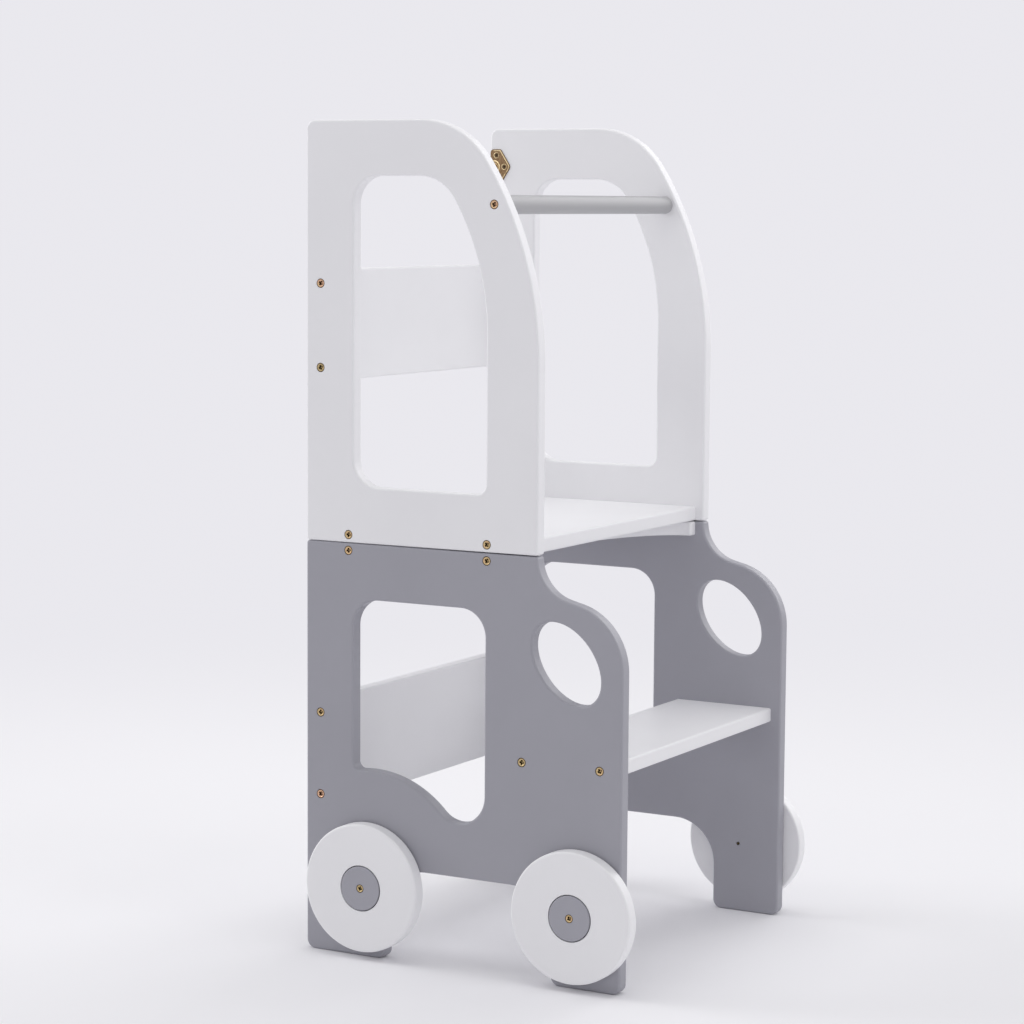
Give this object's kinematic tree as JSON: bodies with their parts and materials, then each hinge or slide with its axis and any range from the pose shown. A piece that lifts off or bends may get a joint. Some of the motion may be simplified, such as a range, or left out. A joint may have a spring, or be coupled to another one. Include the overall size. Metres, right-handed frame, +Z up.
{
  "type": "toddler kitchen helper stool",
  "caption": "Climbing stool for a toddler at the kitchen counter: a white guard frame on a grey car-shaped base with step and play wheels, hinged at the rear to open into a small desk.",
  "frame": {"origin": "on the floor, under the middle of the standing stool's bounding box", "axes": "+X to the right seen from the front, the child climbs in from the front at -Y, the hinges are at the rear at +Y, +Z up"},
  "size_m": [0.4456, 0.4118, 0.9],
  "materials": {
    "white_board": "smooth satin white paint on board",
    "grey_board": "smooth satin grey paint on board",
    "grey_rail": "satin grey paint on a round beech rail",
    "white_wheel": "smooth satin white paint on board",
    "grey_hub": "satin grey paint on turned wood",
    "zinc_screw": "yellow zinc on steel",
    "brass_hardware": "polished brass plate",
    "felt": "pressed felt"
  },
  "bodies": {
    "lower_frame": {"left_lower_side": "grey_board", "right_lower_side": "grey_board", "table_board": "white_board", "step_board": "white_board", "lower_back_board": "white_board", "table_screws": "zinc_screw", "step_screws": "zinc_screw", "lower_back_screws": "zinc_screw", "front_left_hub": "grey_hub", "front_right_hub": "grey_hub", "rear_left_hub": "grey_hub", "rear_right_hub": "grey_hub", "wheel_screws": "zinc_screw", "wheel_washers": "felt", "left_hinge_lower_leaf": "brass_hardware", "right_hinge_lower_leaf": "brass_hardware", "left_hinge_pin": "brass_hardware", "right_hinge_pin": "brass_hardware", "hinge_lower_screws": "brass_hardware", "left_hook_plate": "brass_hardware", "right_hook_plate": "brass_hardware", "hook_plate_screws": "brass_hardware", "left_hook_rivet": "brass_hardware", "right_hook_rivet": "brass_hardware"},
    "upper_frame": {"left_upper_side": "white_board", "right_upper_side": "white_board", "upper_back_board": "white_board", "platform": "white_board", "grab_rail": "grey_rail", "rail_screws": "zinc_screw", "upper_back_screws": "zinc_screw", "platform_screws": "zinc_screw", "left_hinge_upper_leaf": "brass_hardware", "right_hinge_upper_leaf": "brass_hardware", "hinge_upper_screws": "brass_hardware", "left_catch_plate": "brass_hardware", "right_catch_plate": "brass_hardware", "catch_plate_screws": "brass_hardware"},
    "front_left_wheel": {"front_left_wheel": "white_wheel"},
    "front_right_wheel": {"front_right_wheel": "white_wheel"},
    "rear_left_wheel": {"rear_left_wheel": "white_wheel"},
    "rear_right_wheel": {"rear_right_wheel": "white_wheel"},
    "left_catch_hook": {"left_catch_hook": "brass_hardware"},
    "right_catch_hook": {"right_catch_hook": "brass_hardware"}
  },
  "joints": [
    {"name": "fold", "type": "hinge", "parent": "lower_frame", "child": "upper_frame", "pos_m": [0, 0.2029, 0.4505], "axis": [-1, 0, 0], "range_deg": [0, 180]},
    {"name": "front_left_wheel_spin", "type": "hinge", "parent": "lower_frame", "child": "front_left_wheel", "pos_m": [-0.214, -0.1359, 0.079], "axis": [1, 0, 0], "continuous": true},
    {"name": "front_right_wheel_spin", "type": "hinge", "parent": "lower_frame", "child": "front_right_wheel", "pos_m": [0.214, -0.1359, 0.079], "axis": [1, 0, 0], "continuous": true},
    {"name": "rear_left_wheel_spin", "type": "hinge", "parent": "lower_frame", "child": "rear_left_wheel", "pos_m": [-0.214, 0.1196, 0.079], "axis": [1, 0, 0], "continuous": true},
    {"name": "rear_right_wheel_spin", "type": "hinge", "parent": "lower_frame", "child": "rear_right_wheel", "pos_m": [0.214, 0.1196, 0.079], "axis": [1, 0, 0], "continuous": true},
    {"name": "left_catch_hook_swing", "type": "hinge", "parent": "lower_frame", "child": "left_catch_hook", "pos_m": [-0.1864, 0.1916, 0.0455], "axis": [-1, 0, 0], "range_deg": [0, 270]},
    {"name": "right_catch_hook_swing", "type": "hinge", "parent": "lower_frame", "child": "right_catch_hook", "pos_m": [0.1864, 0.1916, 0.0455], "axis": [-1, 0, 0], "range_deg": [0, 270]}
  ]
}
